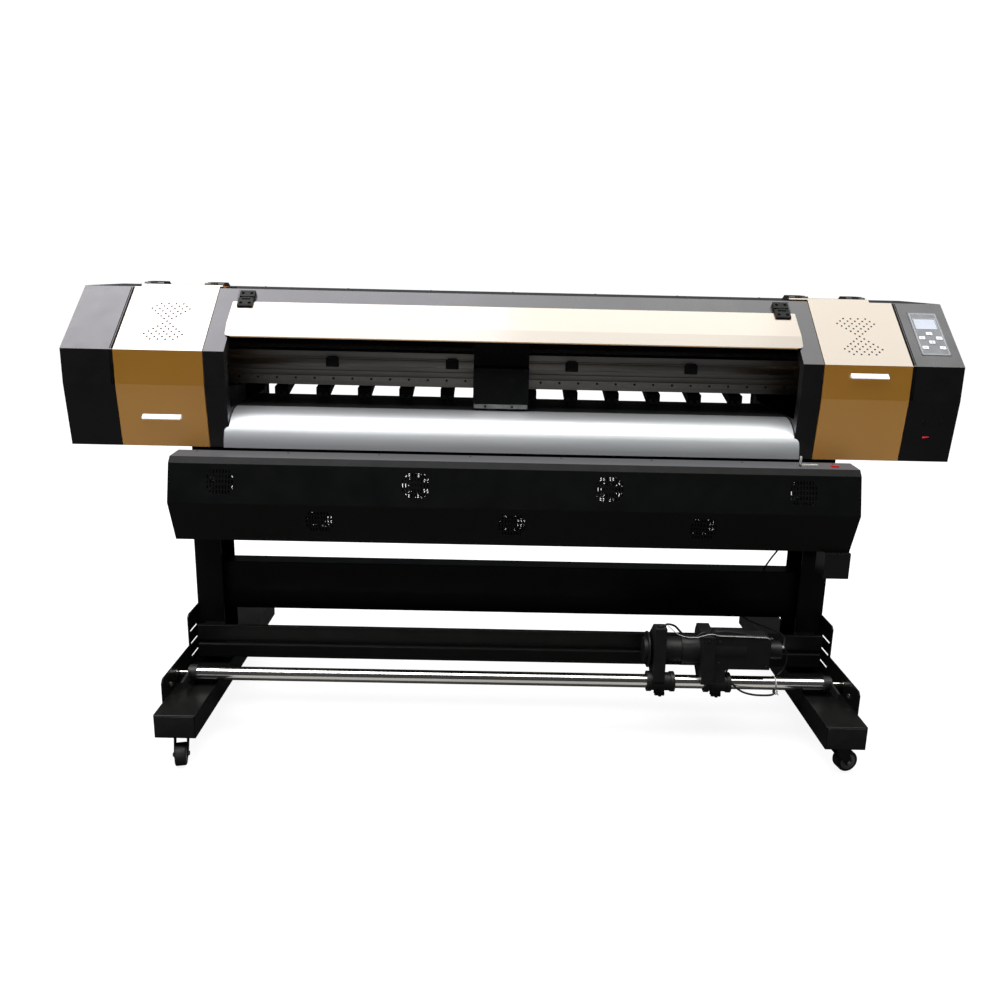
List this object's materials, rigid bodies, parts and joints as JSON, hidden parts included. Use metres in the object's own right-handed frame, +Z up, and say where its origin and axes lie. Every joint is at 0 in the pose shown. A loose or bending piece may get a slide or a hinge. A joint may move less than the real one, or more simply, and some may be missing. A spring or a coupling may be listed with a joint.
{
  "type": "roll-to-roll large-format printer",
  "caption": "Large-format roll printer on a wheeled stand: opening lid, hinged side covers, sliding print carriage, dryer hood and motorised take-up.",
  "frame": {"origin": "on the floor under the middle of the machine", "axes": "+Z up, +X along the machine to its right end, +Y towards its back"},
  "size_m": [2.65, 0.892, 1.3335],
  "materials": {
    "black_paint": "semi-gloss powder coat",
    "stand_paint": "semi-gloss powder coat",
    "gold_paint": "satin metallic",
    "grey_paint": "satin",
    "frame_steel": "galvanised",
    "guide_aluminium": "satin anodised",
    "beam_aluminium": "extruded",
    "platen_black": "hard anodised",
    "polished_steel": "polished",
    "steel": "ground",
    "cast_black": "matt",
    "black_plastic": "moulded",
    "gloss_black": "moulded",
    "white_plastic": "moulded",
    "key_plastic": "moulded",
    "lcd_glass": "clear window",
    "red_plastic": "moulded",
    "ink_bottle": "translucent",
    "belt_rubber": "toothed belt",
    "roller_rubber": "ground",
    "wheel_rubber": "moulded"
  },
  "bodies": {
    "frame": {"end_caps": "black_paint", "inner_panels": "black_paint", "side_frames": "frame_steel", "top_cover": "black_paint", "rear_cover": "black_paint", "hinge_bases": "black_plastic", "platen": "platen_black", "media_guides": "guide_aluminium", "lift_shaft": "steel", "rail_beam": "beam_aluminium", "linear_rail": "steel", "drive_belt": "belt_rubber", "carriage_motor": "gloss_black", "ink_tanks": "ink_bottle", "capping_station": "black_plastic", "control_panel": "gloss_black", "lcd_window": "lcd_glass", "feet": "stand_paint", "uprights": "stand_paint", "upper_crossbeam": "stand_paint", "lower_crossbeam": "stand_paint", "side_plates": "stand_paint", "stand_bolts": "polished_steel", "base_beam": "stand_paint", "hood_shell": "stand_paint", "cooling_fans": "black_plastic", "junction_box": "black_paint", "takeup_tube": "polished_steel", "tube_holders": "cast_black"},
    "lid": {"front_lid": "gold_paint", "lid_hinge_leaves": "black_plastic"},
    "left_door": {"left_cover": "gold_paint", "left_handle": "white_plastic"},
    "right_door": {"right_cover": "gold_paint", "right_handle": "white_plastic"},
    "carriage": {"carriage_cover": "gloss_black", "carriage_base": "grey_paint"},
    "feed_roller": {"grit_roller": "steel"},
    "pinch_bar": {"pinch_arms": "black_plastic"},
    "pinch_wheels": {"pinch_rollers": "roller_rubber"},
    "power_rocker": {"rocker_switch": "red_plastic"},
    "takeup_unit": {"takeup_arms": "cast_black", "takeup_motor": "black_plastic"},
    "core_hub": {"core_flange": "cast_black"},
    "left_knob": {"clamp_knob_left": "black_plastic"},
    "right_knob": {"clamp_knob_right": "black_plastic"},
    "key_up_cap": {"key_up": "key_plastic"},
    "key_left_cap": {"key_left": "key_plastic"},
    "key_right_cap": {"key_right": "key_plastic"},
    "key_down_cap": {"key_down": "key_plastic"},
    "key_cancel_cap": {"key_cancel": "key_plastic"},
    "key_enter_cap": {"key_enter": "key_plastic"},
    "front_left_swivel": {"front_left_fork": "cast_black"},
    "front_left_roll": {"front_left_wheel": "wheel_rubber"},
    "front_right_swivel": {"front_right_fork": "cast_black"},
    "front_right_roll": {"front_right_wheel": "wheel_rubber"},
    "rear_left_swivel": {"rear_left_fork": "cast_black"},
    "rear_left_roll": {"rear_left_wheel": "wheel_rubber"},
    "rear_right_swivel": {"rear_right_fork": "cast_black"},
    "rear_right_roll": {"rear_right_wheel": "wheel_rubber"}
  },
  "joints": [
    {"name": "lid_hinge", "type": "hinge", "parent": "frame", "child": "lid", "pos_m": [0, 0.05034, 1.28903], "axis": [-1, 0, 0], "range_deg": [0, 105]},
    {"name": "left_door_hinge", "type": "hinge", "parent": "frame", "child": "left_door", "pos_m": [-1.0315, 0.13, 1.326], "axis": [-1, 0, 0], "range_deg": [0, 80]},
    {"name": "right_door_hinge", "type": "hinge", "parent": "frame", "child": "right_door", "pos_m": [0.9825, 0.13, 1.326], "axis": [-1, 0, 0], "range_deg": [0, 80]},
    {"name": "carriage_slide", "type": "slide", "parent": "frame", "child": "carriage", "axis": [1, 0, 0], "range_m": [-1.03, 1.1]},
    {"name": "feed_spin", "type": "hinge", "parent": "frame", "child": "feed_roller", "pos_m": [0, 0.2, 0.9543], "axis": [1, 0, 0], "continuous": true},
    {"name": "pinch_lift", "type": "hinge", "parent": "frame", "child": "pinch_bar", "pos_m": [0, 0.3, 1.028], "axis": [-1, 0, 0], "range_deg": [0, 5]},
    {"name": "pinch_spin", "type": "hinge", "parent": "pinch_bar", "child": "pinch_wheels", "pos_m": [0, 0.2, 0.9775], "axis": [1, 0, 0], "continuous": true},
    {"name": "power_switch", "type": "hinge", "parent": "frame", "child": "power_rocker", "pos_m": [0.958, -0.135, 0.8442], "axis": [1, 0, 0], "range_deg": [-8, 8]},
    {"name": "takeup_slide", "type": "slide", "parent": "frame", "child": "takeup_unit", "axis": [1, 0, 0], "range_m": [-1.29, 0.12]},
    {"name": "core_spin", "type": "hinge", "parent": "takeup_unit", "child": "core_hub", "pos_m": [0.4, -0.2, 0.28], "axis": [1, 0, 0], "continuous": true},
    {"name": "left_knob_turn", "type": "hinge", "parent": "takeup_unit", "child": "left_knob", "pos_m": [0.459, -0.242, 0.158], "axis": [0, 0, 1], "range_deg": [0, 360]},
    {"name": "right_knob_turn", "type": "hinge", "parent": "takeup_unit", "child": "right_knob", "pos_m": [0.629, -0.242, 0.158], "axis": [0, 0, 1], "range_deg": [0, 360]},
    {"name": "key_up_press", "type": "slide", "parent": "frame", "child": "key_up_cap", "axis": [0, 0.6736, -0.7391], "range_m": [0, 0.0008]},
    {"name": "key_left_press", "type": "slide", "parent": "frame", "child": "key_left_cap", "axis": [0, 0.6736, -0.7391], "range_m": [0, 0.0008]},
    {"name": "key_right_press", "type": "slide", "parent": "frame", "child": "key_right_cap", "axis": [0, 0.6736, -0.7391], "range_m": [0, 0.0008]},
    {"name": "key_down_press", "type": "slide", "parent": "frame", "child": "key_down_cap", "axis": [0, 0.6736, -0.7391], "range_m": [0, 0.0008]},
    {"name": "key_cancel_press", "type": "slide", "parent": "frame", "child": "key_cancel_cap", "axis": [0, 0.6736, -0.7391], "range_m": [0, 0.0008]},
    {"name": "key_enter_press", "type": "slide", "parent": "frame", "child": "key_enter_cap", "axis": [0, 0.6736, -0.7391], "range_m": [0, 0.0008]},
    {"name": "front_left_swivel_turn", "type": "hinge", "parent": "frame", "child": "front_left_swivel", "pos_m": [-0.932, -0.385, 0.09], "axis": [0, 0, 1], "continuous": true},
    {"name": "front_left_wheel_spin", "type": "hinge", "parent": "front_left_swivel", "child": "front_left_roll", "pos_m": [-0.9257, -0.41228, 0.032], "axis": [0.9744, 0.225, 0], "continuous": true},
    {"name": "front_right_swivel_turn", "type": "hinge", "parent": "frame", "child": "front_right_swivel", "pos_m": [0.954, -0.385, 0.09], "axis": [0, 0, 1], "continuous": true},
    {"name": "front_right_wheel_spin", "type": "hinge", "parent": "front_right_swivel", "child": "front_right_roll", "pos_m": [0.98139, -0.37918, 0.032], "axis": [-0.2079, 0.9781, 0], "continuous": true},
    {"name": "rear_left_swivel_turn", "type": "hinge", "parent": "frame", "child": "rear_left_swivel", "pos_m": [-0.932, 0.385, 0.09], "axis": [0, 0, 1], "continuous": true},
    {"name": "rear_left_wheel_spin", "type": "hinge", "parent": "rear_left_swivel", "child": "rear_left_roll", "pos_m": [-0.9257, 0.41228, 0.032], "axis": [-0.9744, 0.225, 0], "continuous": true},
    {"name": "rear_right_swivel_turn", "type": "hinge", "parent": "frame", "child": "rear_right_swivel", "pos_m": [0.954, 0.385, 0.09], "axis": [0, 0, 1], "continuous": true},
    {"name": "rear_right_wheel_spin", "type": "hinge", "parent": "rear_right_swivel", "child": "rear_right_roll", "pos_m": [0.93255, 0.403, 0.032], "axis": [-0.6428, -0.766, 0], "continuous": true}
  ],
  "couplings": [
    {"joint": "pinch_spin", "follows": "feed_spin", "ratio": -1.5556}
  ]
}
